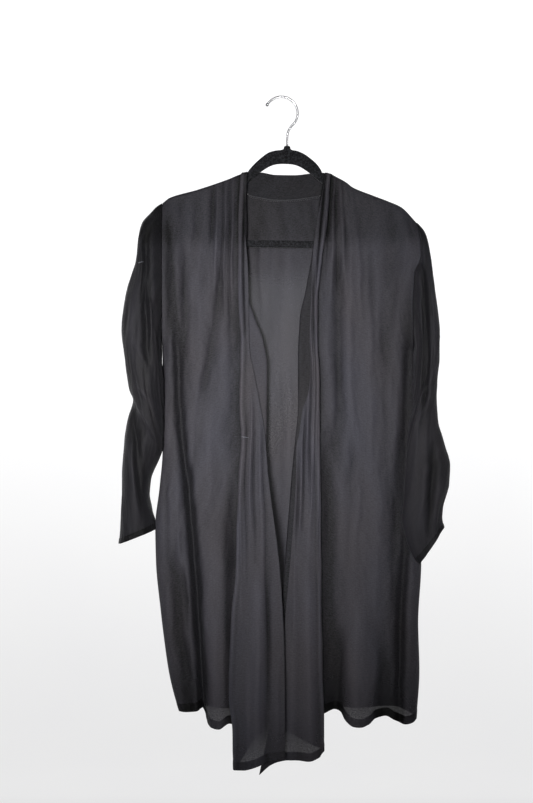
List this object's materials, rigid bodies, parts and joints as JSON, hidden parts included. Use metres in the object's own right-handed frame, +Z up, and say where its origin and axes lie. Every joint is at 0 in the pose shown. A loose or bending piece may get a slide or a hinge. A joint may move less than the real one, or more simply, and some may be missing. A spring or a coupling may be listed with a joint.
{
  "type": "kimono coat on hanger",
  "caption": "Long open kimono coat in thin dark cloth, with cascading fronts and three-quarter sleeves, hanging on a slim velvet hanger with a wire hook.",
  "frame": {"origin": "under the top of the hook's arc, where the hook rests on a rail or a wall hook", "axes": "+Z up, -Y out of the coat's front, +X to the wearer's left"},
  "size_m": [0.5416, 0.1104, 1.1136],
  "materials": {
    "cloth": "soft matt woven viscose, slightly sheer, faint sheen",
    "velvet": "flocked velvet",
    "hook": "polished"
  },
  "bodies": {
    "root": {"back": "cloth", "front_right": "cloth", "front_left": "cloth", "sleeve_right": "cloth", "sleeve_left": "cloth", "neck_band": "cloth", "hanger_frame": "velvet", "hook": "hook"}
  },
  "joints": []
}
